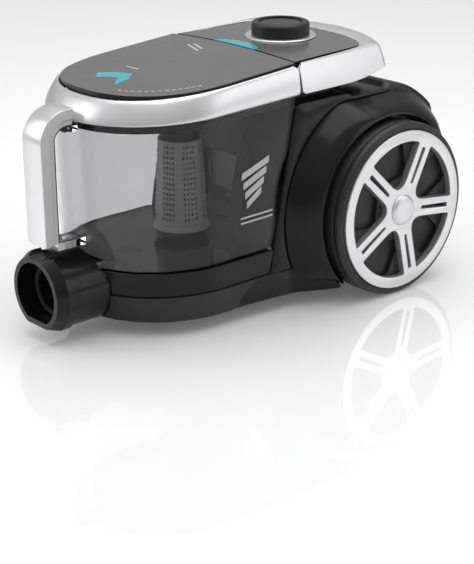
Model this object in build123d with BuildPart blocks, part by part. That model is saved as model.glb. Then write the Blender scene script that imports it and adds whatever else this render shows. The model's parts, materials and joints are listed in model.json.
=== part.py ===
"""Canister vacuum cleaner with a clear dust container, built as separate pieces.

Millimetres. X = 0 is the plane of symmetry, the hose inlet faces -Y, +Z is up, and the
origin is on the floor under the middle of the machine. Left is +X.
"""
from build123d import *
import math
import os

os.makedirs("parts", exist_ok=True)

# Driving dimensions
front_y = -216.0          # face of the hose inlet
rear_y = 216.0            # back of the housing and of the tyres
tyre_radius = 88.0
tyre_inner_x = 112.0
tyre_outer_x = 141.0
rim_face_x = 143.0
hub_cap_x = 148.5
wheel_y = rear_y - tyre_radius
wheel_z = tyre_radius
wall = 3.0

# Body heights and widths
base_z = 15.0             # underside of the lower shell
base_split_z = 42.0       # seam between lower shell and cradle
deck_z = 64.0             # floor that the dust container stands on
shelf_z = 205.0           # top of the rear housing under the carry handle
body_half = 97.0
seam_y = 29.0             # seam between lid and rear top
seam_gap = 1.5            # half of the gap at that seam

# Dust container
tank_top_z = 216.0        # before the sloping rim is cut
tank_bottom = (93.0, -164.0, -5.0)   # half width, front, back at the deck
tank_top = (95.5, -168.5, 25.5)      # half width, front, back at the top
tank_arc_y = -70.0
tank_wall = 2.5

# Lid
band_low_z = 213.4        # lower edge of the silver band at the seam
band_low_slope = 1.8      # degrees that this edge falls towards the front
band_top_z = 240.5
band_top_slope = 4.4
rim_clearance = 0.4
panel_edge_z = 243.3      # edge of the crowned top panels at the seam
panel_rise = 3.1

# Carry handle
handle_low_z = 213.5
handle_top_z = 241.5      # at the seam
handle_top_slope = 1.5    # degrees that the top rises towards the rear
pivot_y = 45.0
pivot_z = 236.5
pin_radius = 4.0
recess_z = 186.0          # floor of the finger recess under the crossbar

# Running fits
running_gap = 0.05
body_gap = 0.5

# Wheels
axle_radius = 6.0
arch_radius = 92.0
well_x = 99.5
spoke_count = 5
spoke_angle = 65.0

# Controls
knob_y = 93.0
knob_radius = 29.3
knob_top_z = 261.0
ring_radius = 36.0

# Hose inlet
inlet_z = 48.0
inlet_bore = 20.0
socket_depth = 26.0
inlet_radius = 38.0
collar_radius = 40.5
collar_back_y = front_y + 19.0
inlet_flat_z = 16.0

# Caster
caster_y = -105.0
caster_radius = 17.0
caster_trail = 10.0
pocket_radius = 31.0

# Motor and reel
motor_x = -34.0
motor_z = 105.0
reel_y = 118.0
reel_z = 108.0
reel_radius = 68.0

# Openings in the rear wall
grille_half = 46.0
grille_low = 84.0
grille_high = 152.0
hinge_radius = 1.5
outlet_x = 30.0
outlet_z = 58.0
outlet_radius = 9.0
rewind_x = -30.0


def save(piece, name):
    """Label one finished piece and write its STEP file."""
    piece.part.label = name
    export_step(piece.part, f"parts/{name}.step")


def sloping_plane(height, slope):
    """A plane through the seam at this height that falls towards the front."""
    tilt = math.radians(slope)
    return Plane((0, seam_y, height), x_dir=(1, 0, 0), z_dir=(0, -math.sin(tilt), math.cos(tilt)))


low_plane = sloping_plane(band_low_z, band_low_slope)
top_plane = sloping_plane(band_top_z, band_top_slope)


def nose_outline(half, front, back, arc):
    """Flat-backed outline whose front end is half an ellipse."""
    with BuildSketch() as outline:
        with BuildLine():
            EllipticalCenterArc((0, arc), half, arc - front, start_angle=180, arc_size=180)
            Polyline((half, arc), (half, back), (-half, back), (-half, arc))
        make_face()
    return outline.sketch


def tail_outline(half, front, back, arc):
    """Flat-fronted outline whose rear end is half an ellipse."""
    with BuildSketch() as outline:
        with BuildLine():
            EllipticalCenterArc((0, arc), half, back - arc, start_angle=0, arc_size=180)
            Polyline((-half, arc), (-half, front), (half, front), (half, arc))
        make_face()
    return outline.sketch


def d_outline(radius, flat):
    """Circle with its lower side cut flat, about the inlet axis."""
    with BuildSketch() as outline:
        Circle(radius)
        with Locations((0, -flat - radius)):
            Rectangle(4 * radius, 2 * radius, mode=Mode.SUBTRACT)
    return outline.sketch


def at_tank_height(height, inset):
    """The container's outline at one height, moved inwards by inset."""
    share = (height - deck_z) / (tank_top_z - deck_z)
    half, front, back = [low + share * (high - low) for low, high in zip(tank_bottom, tank_top)]
    return nose_outline(half - inset, front + inset, back - inset, tank_arc_y)


def inlet_plane(y):
    """A plane across the hose inlet, looking forwards."""
    return Plane((0, y, inlet_z), x_dir=(1, 0, 0), z_dir=(0, -1, 0))


def side_plane(x):
    """A plane across the machine, with Y and Z as its own axes."""
    return Plane((x, 0, 0), x_dir=(0, 1, 0), z_dir=(1, 0, 0))


def wheel_plane(x):
    """A plane across the wheel axis at this X."""
    return Plane((x, wheel_y, wheel_z), x_dir=(0, 1, 0), z_dir=(1, 0, 0))


# ---------------------------------------------------------------- lower shell and deck

def make_base_housing():
    """Open tub that carries everything, with the caster's pocket."""
    with BuildPart() as base_housing:
        with BuildSketch(Plane.XY.offset(base_z)):
            add(nose_outline(91, -158, 60, -62))
        with BuildSketch(Plane.XY.offset(base_split_z)):
            add(nose_outline(97.5, -166, 60, -66))
        loft()
        with BuildSketch(Plane.XY.offset(base_z)):
            with Locations((0, 125)):
                RectangleRounded(188, 176, 44)
        extrude(amount=base_split_z - base_z)
        with BuildSketch(Plane.XY.offset(base_z + wall)):
            add(nose_outline(88.5, -155, 60, -62))
        with BuildSketch(Plane.XY.offset(base_split_z)):
            add(nose_outline(94.5, -163, 60, -66))
        loft(mode=Mode.SUBTRACT)
        with BuildSketch(Plane.XY.offset(base_z + wall)):
            with Locations((0, 125)):
                RectangleRounded(182, 170, 41)
        extrude(amount=base_split_z - base_z, mode=Mode.SUBTRACT)
        with BuildSketch(Plane.XY.offset(base_z)):
            with Locations((0, caster_y)):
                Circle(pocket_radius + wall)
        extrude(amount=46 - base_z)
        with BuildSketch(Plane.XY.offset(base_z)):
            with Locations((0, caster_y)):
                Circle(pocket_radius)
        extrude(amount=43 - base_z, mode=Mode.SUBTRACT)
        with BuildSketch(Plane.XY.offset(43)):
            with Locations((0, caster_y)):
                Circle(9)
        extrude(amount=13)
        with BuildSketch(Plane.XY.offset(40)):
            with Locations((0, caster_y)):
                Circle(4 + running_gap)
        extrude(amount=14, mode=Mode.SUBTRACT)
        with BuildSketch(inlet_plane(-130)):
            add(d_outline(inlet_radius + body_gap, inlet_z - inlet_flat_z + 0.5))
        extrude(amount=60, mode=Mode.SUBTRACT)
        with BuildSketch(Plane.XY.offset(base_z)):
            with GridLocations(150, 90, 2, 2):
                Circle(7)
        extrude(amount=wall + 1.5, mode=Mode.ADD)
        with BuildSketch(Plane.XY.offset(base_z)):
            with GridLocations(150, 90, 2, 2):
                Circle(4)
        extrude(amount=wall, mode=Mode.SUBTRACT)
        with BuildSketch(Plane.XY.offset(base_z)):
            with Locations((-40, 150)):
                with GridLocations(0, 7, 1, 7):
                    SlotOverall(50, 3)
        extrude(amount=wall, mode=Mode.SUBTRACT)
    save(base_housing, "base_housing")


def make_cradle():
    """Deck and rim that the dust container stands in."""
    with BuildPart() as cradle:
        with BuildSketch(Plane.XY.offset(base_split_z)):
            add(nose_outline(95.5, -164, 2, -66))
        with BuildSketch(Plane.XY.offset(deck_z + 2)):
            add(nose_outline(97, -167.5, 2, -68))
        loft()
        with BuildSketch(Plane.XY.offset(base_split_z)):
            add(nose_outline(92.5, -161, 8, -66))
        extrude(amount=deck_z - base_split_z - wall, mode=Mode.SUBTRACT)
        with BuildSketch(Plane.XY.offset(deck_z)):
            add(nose_outline(94.3, -165.2, 8, tank_arc_y))
        extrude(amount=4, mode=Mode.SUBTRACT)
        with BuildSketch(inlet_plane(-130)):
            add(d_outline(inlet_radius + body_gap, inlet_z - inlet_flat_z + 0.5))
        extrude(amount=60, mode=Mode.SUBTRACT)
        with BuildSketch(Plane.XY.offset(deck_z - 5)):
            with Locations((0, caster_y)):
                Circle(12)
        extrude(amount=6, mode=Mode.SUBTRACT)
        split(bisect_by=tank_back_plane(-0.6), keep=Keep.TOP)
    save(cradle, "cradle")


def tank_back_plane(offset):
    """The sloping plane of the container's back wall, moved along its normal."""
    run = tank_top[2] - tank_bottom[2]
    rise = tank_top_z - deck_z
    length = math.hypot(run, rise)
    normal = (0, -rise / length, run / length)
    origin = Vector(0, tank_bottom[2], deck_z) - Vector(*normal) * offset
    return Plane(origin, x_dir=(1, 0, 0), z_dir=normal)


def make_hose_inlet():
    """Socket that the hose end plugs into, with a port up to the container."""
    with BuildPart() as hose_inlet:
        with BuildSketch(inlet_plane(-136)):
            add(d_outline(inlet_radius, inlet_z - inlet_flat_z))
        extrude(amount=-136 - collar_back_y)
        with BuildSketch(Plane.XY.offset(deck_z - wall - 0.3)):
            add(nose_outline(99, -170, 0, tank_arc_y))
        extrude(amount=80, mode=Mode.SUBTRACT)
        with BuildSketch(inlet_plane(collar_back_y + socket_depth)):
            Circle(inlet_bore)
        extrude(amount=80, mode=Mode.SUBTRACT)
        with BuildSketch(inlet_plane(-142)):
            Circle(inlet_bore - 2)
        extrude(amount=40, mode=Mode.SUBTRACT)
        with BuildSketch(Plane.XY.offset(inlet_z)):
            with Locations((0, -153)):
                Rectangle(30, 16)
        extrude(amount=40, mode=Mode.SUBTRACT)
    save(hose_inlet, "hose_inlet")


def make_inlet_collar():
    """Bevelled bezel with a D-shaped mouth."""
    with BuildPart() as inlet_collar:
        with BuildSketch(inlet_plane(collar_back_y)):
            add(d_outline(collar_radius, inlet_z - base_z - 0.5))
        extrude(amount=9)
        with BuildSketch(inlet_plane(collar_back_y - 9)):
            add(d_outline(collar_radius, inlet_z - base_z - 0.5))
        with BuildSketch(inlet_plane(front_y)):
            add(d_outline(35, inlet_z - inlet_flat_z - 0.5))
        loft()
        with BuildSketch(inlet_plane(collar_back_y)):
            add(d_outline(30, 26))
        extrude(amount=20, mode=Mode.SUBTRACT)
        with BuildSketch(Plane((0, collar_back_y + 1, inlet_z + 62), x_dir=(1, 0, 0), z_dir=(0, -1, 0))):
            Circle(29)
        extrude(amount=40, mode=Mode.SUBTRACT)
    save(inlet_collar, "inlet_collar")


def make_inlet_seal():
    """Rubber ring that lies against the socket's front face, in the mouth."""
    with BuildPart() as inlet_seal:
        with BuildSketch(inlet_plane(collar_back_y)):
            Circle(inlet_bore + 5)
            Circle(inlet_bore + 1, mode=Mode.SUBTRACT)
        extrude(amount=2)
    save(inlet_seal, "inlet_seal")


# ---------------------------------------------------------------- rear housing

def side_profile(inset):
    """Side view of the rear housing: sloping front, flat shelf and a round shoulder."""
    run = tank_top[2] - tank_bottom[2]
    lean = run / (tank_top_z - deck_z)
    low = base_split_z
    front_low = tank_bottom[2] + 0.8 + inset - lean * (deck_z - low)
    front_high = tank_bottom[2] + 0.8 + inset + lean * (shelf_z - inset - deck_z)
    shoulder = 122.0 - inset
    back = rear_y - inset + 2     # the plan limit trims this overhang
    shoulder_y = wheel_y + math.sqrt(shoulder ** 2 - (shelf_z - inset - wheel_z) ** 2)
    back_z = wheel_z + math.sqrt(shoulder ** 2 - (back - wheel_y) ** 2)
    with BuildSketch() as outline:
        with BuildLine():
            Polyline((front_low, low), (front_high, shelf_z - inset), (shoulder_y, shelf_z - inset))
            RadiusArc((shoulder_y, shelf_z - inset), (back, back_z), shoulder)
            Polyline((back, back_z), (back, low), (front_low, low))
        make_face()
    return outline.sketch


def fender_profile(inset, inner_radius):
    """Half section of a fender: radius from the wheel axis against X."""
    with BuildSketch() as outline:
        with BuildLine():
            Polyline((inner_radius, 56), (116.5 - inset, 56), (116.5 - inset, 90), (118 - inset, 98))
            ThreePointArc((118 - inset, 98),
                          (108.5 - 0.7 * inset, 115 - 0.7 * inset),
                          (arch_radius + 3, 124 - inset))
            Polyline((arch_radius + 3, 124 - inset), (inner_radius, 124 - inset), (inner_radius, 56))
        make_face()
    return outline.sketch


def plan_limit(inset):
    """Plan of the rear housing with its rounded rear corners."""
    with BuildSketch() as outline:
        with Locations((0, rear_y - 120)):
            RectangleRounded(2 * (body_half - inset), 240 - 2 * inset, 45 - inset)
    return outline.sketch


def fender_solid(inset, inner_radius, side):
    """One fender as a solid of revolution about the wheel axis."""
    turn_axis = Axis((0, wheel_y, wheel_z), (1, 0, 0))
    sketch_plane = Plane((0, wheel_y, wheel_z), x_dir=(0, 0, 1), z_dir=(0, -side, 0))
    with BuildPart() as fender:
        with BuildSketch(sketch_plane):
            add(fender_profile(inset, inner_radius))
        revolve(axis=turn_axis)
        with BuildSketch(Plane.XY.offset(20)):
            with Locations((0, 50)):
                Rectangle(400, 2 * (rear_y - inset - 50))
        extrude(amount=240, mode=Mode.INTERSECT)
    return fender.part


def recess_box(grow):
    """The finger recess under the handle's crossbar, grown by a wall."""
    with BuildPart() as recess:
        with BuildSketch(Plane.XY.offset(recess_z - grow)):
            with Locations((0, 161)):
                RectangleRounded(120 + 2 * grow, 26 + 2 * grow, 8 + grow)
        extrude(amount=shelf_z - recess_z + grow + 4)
    return recess.part


def rear_core(inset):
    """The housing without its fenders."""
    with BuildPart() as core:
        with BuildSketch(side_plane(-body_half + inset)):
            add(side_profile(inset))
        extrude(amount=2 * (body_half - inset))
        with BuildSketch(Plane.XY.offset(base_split_z - 1)):
            add(plan_limit(inset))
        extrude(amount=200, mode=Mode.INTERSECT)
    return core.part


def recess_wall():
    """The recess's own wall, kept inside the housing."""
    with BuildPart() as recess:
        add(recess_box(wall))
        add(rear_core(1), mode=Mode.INTERSECT)
    return recess.part


def make_rear_housing():
    """Upper rear shell with both fenders, the motor bay behind its sloping front wall."""
    with BuildPart() as rear_housing:
        add(rear_core(0))
        for side in (1, -1):
            add(fender_solid(0, 60, side))
        add(rear_core(wall), mode=Mode.SUBTRACT)
        add(recess_wall())
        add(recess_box(0), mode=Mode.SUBTRACT)
        with BuildSketch(Plane.XY.offset(base_split_z - 40)):
            with Locations((0, rear_y - 120)):
                Rectangle(2 * body_half + 2, 242)
        extrude(amount=40, mode=Mode.SUBTRACT)
        for side in (1, -1):
            with BuildSketch(wheel_plane(side * well_x)):
                Circle(arch_radius)
            extrude(amount=side * 40, mode=Mode.SUBTRACT)
            add(fender_solid(2.5, arch_radius + 2.5, side), mode=Mode.SUBTRACT)
            with BuildSketch(wheel_plane(side * 90)):
                Circle(axle_radius)
            extrude(amount=side * 30, mode=Mode.SUBTRACT)
        cut_rear_openings()
    save(rear_housing, "rear_housing")


def cut_rear_openings():
    """Openings in the housing now being built: exhaust, cord outlet, rewind button and filter."""
    back = Plane((0, rear_y + 1, 0), x_dir=(-1, 0, 0), z_dir=(0, 1, 0))
    with BuildPart(mode=Mode.PRIVATE) as openings:
        with BuildSketch(back):
            with Locations((0, (grille_low + grille_high) / 2)):
                Rectangle(2 * grille_half + 1, grille_high - grille_low + 1)
            with Locations((-outlet_x, outlet_z)):
                Circle(outlet_radius)
            with Locations((-rewind_x, outlet_z)):
                Circle(8.5)
        extrude(amount=-8)
        with BuildSketch(Plane.XZ.offset(-40)):
            with Locations((0, 125)):
                Rectangle(70, 64)
        extrude(amount=45)
        with BuildSketch(Plane.XY.offset(shelf_z - 6)):
            with Locations((0, 88)):
                Rectangle(120, 90)
        extrude(amount=10)
    add(openings.part, mode=Mode.SUBTRACT)


def make_exhaust():
    """Slotted exhaust cover on a bottom hinge, and the filter behind it."""
    with BuildPart() as exhaust_grille:
        with BuildSketch(Plane((0, rear_y - 2.5, 0), x_dir=(-1, 0, 0), z_dir=(0, 1, 0))):
            with Locations((0, (grille_low + hinge_radius + grille_high) / 2)):
                Rectangle(2 * grille_half, grille_high - grille_low - hinge_radius)
            with Locations((0, (grille_low + grille_high) / 2)):
                with GridLocations(0, 8, 1, 7):
                    SlotOverall(76, 3.4, mode=Mode.SUBTRACT)
        extrude(amount=2.5)
        with BuildSketch(side_plane(-grille_half)):
            with Locations((rear_y - hinge_radius, grille_low + hinge_radius)):
                Circle(hinge_radius)
        extrude(amount=2 * grille_half)
    save(exhaust_grille, "exhaust_grille")
    with BuildPart() as exhaust_filter:
        with BuildSketch(Plane((0, 194, 0), x_dir=(-1, 0, 0), z_dir=(0, 1, 0))):
            with Locations((0, (grille_low + grille_high) / 2)):
                Rectangle(2 * grille_half - 6, grille_high - grille_low - 6)
        extrude(amount=15)
        pleats = Plane((0, 209, 0), x_dir=(-1, 0, 0), z_dir=(0, 1, 0))
        with BuildSketch(pleats):
            with Locations((0, (grille_low + grille_high) / 2)):
                with GridLocations(5, 0, 16, 1):
                    Rectangle(2, grille_high - grille_low - 14)
        extrude(amount=-9, mode=Mode.SUBTRACT)
    save(exhaust_filter, "exhaust_filter")


def make_cord_outlet():
    """Bush in the rear wall that the mains cord would leave by."""
    back = Plane((0, rear_y - 6, 0), x_dir=(-1, 0, 0), z_dir=(0, 1, 0))
    with BuildPart() as cord_outlet:
        with BuildSketch(back):
            with Locations((-outlet_x, outlet_z)):
                Circle(outlet_radius)
                Circle(4.5, mode=Mode.SUBTRACT)
        extrude(amount=6)
        mouth_edges = cord_outlet.edges().filter_by(GeomType.CIRCLE).group_by(Axis.Y)[-1]
        fillet(mouth_edges.sort_by(SortBy.LENGTH)[0], 1.2)
    save(cord_outlet, "cord_outlet")
    with BuildPart() as rewind_button:
        with BuildSketch(back.offset(1)):
            with Locations((-rewind_x, outlet_z)):
                Circle(8.2)
        extrude(amount=5)
        with BuildSketch(back.offset(-6)):
            with Locations((-rewind_x, outlet_z)):
                Circle(4)
        extrude(amount=8)
    save(rewind_button, "rewind_button")


# ---------------------------------------------------------------- rear top and controls

def crown_limit(height, slope, rise, half):
    """A very wide cylinder whose top gives a panel its crown."""
    radius = (half ** 2 + rise ** 2) / (2 * rise)
    tilt = math.radians(slope)
    start_y = -260
    start_z = height + rise - radius - (seam_y - start_y) * math.tan(tilt)
    axis_plane = Plane((0, start_y, start_z), x_dir=(1, 0, 0), z_dir=(0, math.cos(tilt), math.sin(tilt)))
    with BuildPart() as limit:
        with BuildSketch(axis_plane):
            Circle(radius)
        extrude(amount=560)
    return limit.part


def make_top_frame():
    """Black deck between the handle's arms, which carries the controls."""
    with BuildPart() as top_frame:
        with BuildSketch(Plane.XY.offset(shelf_z + 0.2)):
            add(tail_outline(80, seam_y + seam_gap, 146, 72))
        extrude(amount=band_top_z - shelf_z - 0.5)
        with BuildSketch(Plane.XY.offset(shelf_z)):
            add(tail_outline(77, seam_y + seam_gap + wall, 143, 72))
        extrude(amount=band_top_z - shelf_z - 3.5, mode=Mode.SUBTRACT)
        with BuildSketch(Plane.XY.offset(230)):
            with Locations((0, knob_y)):
                Circle(9)
            with Locations((0, seam_y + 10)):
                Rectangle(64, 24)
        extrude(amount=20, mode=Mode.SUBTRACT)
        with BuildSketch(Plane.XY.offset(221.4)):
            with Locations((0, seam_y + 3)):
                Rectangle(16, 6)
        extrude(amount=4.2, mode=Mode.SUBTRACT)
        for side in (1, -1):
            with BuildSketch(side_plane(side * 70)):
                with Locations((pivot_y, pivot_z - 1)):
                    Rectangle(14, 7)
            extrude(amount=side * 7)
            with BuildSketch(side_plane(side * 66)):
                with Locations((pivot_y, pivot_z)):
                    Circle(pin_radius)
            extrude(amount=side * 16, mode=Mode.SUBTRACT)
    save(top_frame, "top_frame")


def make_top_panel():
    """Crowned dark panel behind the seam."""
    with BuildPart() as top_panel:
        with BuildSketch(Plane.XY.offset(band_top_z)):
            add(tail_outline(81, seam_y + seam_gap, 148, 72))
        extrude(amount=20)
        add(crown_limit(panel_edge_z, 0.0, panel_rise, 81), mode=Mode.INTERSECT)
        with BuildSketch(Plane.XY.offset(band_top_z - 1)):
            with Locations((0, knob_y)):
                Circle(9)
        extrude(amount=20, mode=Mode.SUBTRACT)
        with BuildSketch(Plane.XY.offset(band_top_z - 1)):
            add(tail_outline(30.4, seam_y, seam_y + 16.4, seam_y + 4))
        extrude(amount=20, mode=Mode.SUBTRACT)
    save(top_panel, "top_panel")


def make_release_button():
    """Half-oval button at the seam that frees the lid and container."""
    with BuildPart() as release_button:
        with BuildSketch(Plane.XY.offset(236)):
            add(tail_outline(30, seam_y + seam_gap + 0.2, seam_y + 16, seam_y + 4))
        extrude(amount=12)
        add(crown_limit(panel_edge_z + 0.1, 0.0, panel_rise, 81), mode=Mode.INTERSECT)
    save(release_button, "release_button")
    with BuildPart() as release_latch:
        with BuildSketch(Plane.XY.offset(222)):
            with Locations((0, seam_y + 9)):
                Rectangle(40, 8)
        extrude(amount=5)
        with BuildSketch(Plane.XY.offset(222)):
            with Locations((0, seam_y + 4)):
                Rectangle(14, 6)
        extrude(amount=3)
    save(release_latch, "release_latch")
    with BuildPart() as release_spring:
        for x in (-14, 14):
            with BuildSketch(Plane.XY.offset(227.2)):
                with Locations((x, seam_y + 9)):
                    Circle(3.2)
                    Circle(2.2, mode=Mode.SUBTRACT)
            extrude(amount=8.6)
    save(release_spring, "release_springs")


def make_knob():
    """Turning power knob with its own push button, spindle and silver skirt ring."""
    centre = (0, knob_y)
    panel_top = panel_edge_z + panel_rise
    with BuildPart() as knob_ring:
        with BuildSketch(Plane.XY.offset(panel_top + 0.05)):
            with Locations(centre):
                Circle(ring_radius)
                Circle(10, mode=Mode.SUBTRACT)
        extrude(amount=1.2)
        chamfer(knob_ring.edges().group_by(Axis.Z)[-1].sort_by(SortBy.LENGTH)[-1], 0.9)
    save(knob_ring, "knob_ring")
    with BuildPart() as power_knob:
        with BuildSketch(Plane.XY.offset(panel_top + 2.2)):
            with Locations(centre):
                Circle(knob_radius)
        extrude(amount=knob_top_z - panel_top - 2.2)
        fillet(power_knob.edges().group_by(Axis.Z)[-1], 3)
        with BuildSketch(Plane.XY.offset(knob_top_z - 6)):
            with Locations(centre):
                Circle(22)
        extrude(amount=8, mode=Mode.SUBTRACT)
        with BuildSketch(Plane.XY.offset(panel_top)):
            with Locations(centre):
                Circle(4)
        extrude(amount=20, mode=Mode.SUBTRACT)
    save(power_knob, "power_knob")
    with BuildPart() as power_button:
        with BuildSketch(Plane.XY.offset(knob_top_z - 3.8)):
            with Locations(centre):
                Circle(21.6)
        extrude(amount=2.6)
        fillet(power_button.edges().group_by(Axis.Z)[-1], 0.8)
    save(power_button, "power_button")
    with BuildPart() as knob_spindle:
        with BuildSketch(Plane.XY.offset(230)):
            with Locations(centre):
                Circle(4)
        extrude(amount=knob_top_z - 6 - 230)
    save(knob_spindle, "knob_spindle")
    with BuildPart() as control_board:
        with BuildSketch(Plane.XY.offset(222)):
            with Locations((0, 98)):
                Rectangle(80, 56)
        extrude(amount=1.6)
        with BuildSketch(Plane.XY.offset(223.6)):
            with Locations(centre):
                Rectangle(14, 14)
            with Locations((-26, 90), (26, 90), (-24, 112), (22, 114)):
                Rectangle(10, 8)
        extrude(amount=6)
    save(control_board, "control_board")


# ---------------------------------------------------------------- carry handle

def make_carry_handle():
    """U-shaped carry handle that folds down round the rear top."""
    front = seam_y + seam_gap + 0.8
    with BuildPart() as carry_handle:
        with BuildSketch(Plane.XY.offset(handle_low_z)):
            add(tail_outline(99, front, 177, 92))
        with BuildSketch(sloping_plane(handle_top_z, handle_top_slope)):
            add(tail_outline(95, front - seam_y, 173 - seam_y, 92 - seam_y))
        loft()
        with BuildSketch(Plane.XY.offset(handle_low_z)):
            add(tail_outline(82.5, front - 10, 156, 88))
        extrude(amount=60, mode=Mode.SUBTRACT)
        tips = carry_handle.edges().filter_by(Axis.X).group_by(Axis.Y)[0].group_by(Axis.Z)
        fillet(tips[-1], 8)
        fillet(carry_handle.edges().filter_by(Axis.X).group_by(Axis.Y)[0].group_by(Axis.Z)[0], 4)
        for side in (1, -1):
            with BuildSketch(side_plane(side * 80)):
                with Locations((pivot_y, pivot_z)):
                    Circle(pin_radius + running_gap)
            extrude(amount=side * 10, mode=Mode.SUBTRACT)
        with BuildSketch(Plane.XY.offset(handle_low_z)):
            add(tail_outline(93, 70, 170, 90))
            add(tail_outline(86.5, 60, 160, 88), mode=Mode.SUBTRACT)
        extrude(amount=6, mode=Mode.SUBTRACT)
    save(carry_handle, "carry_handle")
    with BuildPart() as grip_insert:
        with BuildSketch(Plane.XY.offset(handle_low_z)):
            add(tail_outline(92.8, 70.4, 169.8, 90))
            add(tail_outline(86.7, 60, 160.2, 88), mode=Mode.SUBTRACT)
        extrude(amount=5.8)
    save(grip_insert, "handle_grip_insert")
    with BuildPart() as handle_pins:
        for side in (1, -1):
            with BuildSketch(side_plane(side * 70)):
                with Locations((pivot_y, pivot_z)):
                    Circle(pin_radius)
            extrude(amount=side * 19)
    save(handle_pins, "handle_pins")


# ---------------------------------------------------------------- wheels

def make_wheel(side, word):
    """One rear wheel: tyre, spoked rim, backing disc and hub cap."""
    with BuildPart() as tyre:
        with BuildSketch(wheel_plane(side * tyre_inner_x)):
            Circle(tyre_radius)
            Circle(80.6, mode=Mode.SUBTRACT)
        extrude(amount=side * (tyre_outer_x - tyre_inner_x))
        rims = tyre.edges().filter_by(GeomType.CIRCLE).sort_by(SortBy.LENGTH)[-2:]
        fillet(rims, 5)
    save(tyre, f"tyre_{word}")
    with BuildPart() as rim:
        with BuildSketch(wheel_plane(side * (tyre_inner_x + 2))):
            Circle(80.6)
            Circle(77, mode=Mode.SUBTRACT)
        extrude(amount=side * (rim_face_x - tyre_inner_x - 2))
        with BuildSketch(wheel_plane(side * (rim_face_x - 5))):
            Circle(80.6)
            Circle(70, mode=Mode.SUBTRACT)
        extrude(amount=side * 5)
        with BuildSketch(wheel_plane(side * (rim_face_x - 6))):
            Circle(24)
            with PolarLocations(0, spoke_count, start_angle=spoke_angle):
                with Locations((46, 0)):
                    Trapezoid(18, 52, 87, rotation=-90)
        extrude(amount=side * 5)
        with BuildSketch(wheel_plane(side * (rim_face_x - 7))):
            with PolarLocations(0, spoke_count, start_angle=spoke_angle):
                with Locations((49, 0)):
                    SlotOverall(44, 5)
        extrude(amount=side * 10, mode=Mode.SUBTRACT)
        with BuildSketch(wheel_plane(side * (tyre_inner_x + 2))):
            Circle(15)
        extrude(amount=side * (rim_face_x - 8 - tyre_inner_x))
        with BuildSketch(wheel_plane(side * (tyre_inner_x - 2))):
            Circle(axle_radius + running_gap)
        extrude(amount=side * 40, mode=Mode.SUBTRACT)
    save(rim, f"rim_{word}")
    with BuildPart() as disc:
        with BuildSketch(wheel_plane(side * (rim_face_x - 16))):
            Circle(76.8)
            Circle(15.2, mode=Mode.SUBTRACT)
        extrude(amount=side * 8)
        with BuildSketch(wheel_plane(side * (rim_face_x - 12))):
            with PolarLocations(0, spoke_count, start_angle=spoke_angle + 36):
                with Locations((50, 0)):
                    RectangleRounded(38, 34, 8)
        extrude(amount=side * 8, mode=Mode.SUBTRACT)
    save(disc, f"wheel_disc_{word}")
    with BuildPart() as hub_cap:
        with BuildSketch(wheel_plane(side * (rim_face_x - 1))):
            Circle(16)
        extrude(amount=side * (hub_cap_x - rim_face_x + 1))
        fillet(hub_cap.faces().sort_by(Axis.X)[-1 if side > 0 else 0].edges(), 2.5)
    save(hub_cap, f"hub_cap_{word}")


def make_axles():
    """Stub axles of the rear wheels, fixed in the rear housing."""
    with BuildPart() as wheel_axles:
        for side in (1, -1):
            with BuildSketch(wheel_plane(side * 92)):
                Circle(axle_radius)
            extrude(amount=side * (rim_face_x - 4 - 92))
            with BuildSketch(wheel_plane(side * 92)):
                Circle(14)
            extrude(amount=side * 1.9)
    save(wheel_axles, "wheel_axles")


def make_caster():
    """Small swivelling wheel hidden under the front."""
    pivot = (0, caster_y)
    with BuildPart() as caster_fork:
        with BuildSketch(Plane.XY.offset(38)):
            with Locations(pivot):
                Circle(19)
        extrude(amount=4)
        for side in (1, -1):
            with BuildSketch(side_plane(side * 9)):
                with Locations((caster_y + caster_trail / 2, 28)):
                    Rectangle(26, 24)
                with Locations((caster_y + caster_trail, caster_radius)):
                    Circle(8)
            extrude(amount=side * 3)
        with BuildSketch(side_plane(-14)):
            with Locations((caster_y + caster_trail, caster_radius)):
                Circle(3)
        extrude(amount=28, mode=Mode.SUBTRACT)
        with BuildSketch(Plane.XY.offset(41)):
            with Locations(pivot):
                Circle(4)
        extrude(amount=12)
    save(caster_fork, "caster_fork")
    with BuildPart() as caster_wheel:
        with BuildSketch(side_plane(-8)):
            with Locations((caster_y + caster_trail, caster_radius)):
                Circle(caster_radius)
                Circle(3 + running_gap, mode=Mode.SUBTRACT)
        extrude(amount=16)
        fillet(caster_wheel.edges().filter_by(GeomType.CIRCLE).sort_by(SortBy.LENGTH)[-2:], 2.5)
    save(caster_wheel, "caster_wheel")
    with BuildPart() as caster_axle:
        with BuildSketch(side_plane(-12)):
            with Locations((caster_y + caster_trail, caster_radius)):
                Circle(3)
        extrude(amount=24)
    save(caster_axle, "caster_axle")


# ---------------------------------------------------------------- dust container

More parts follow.
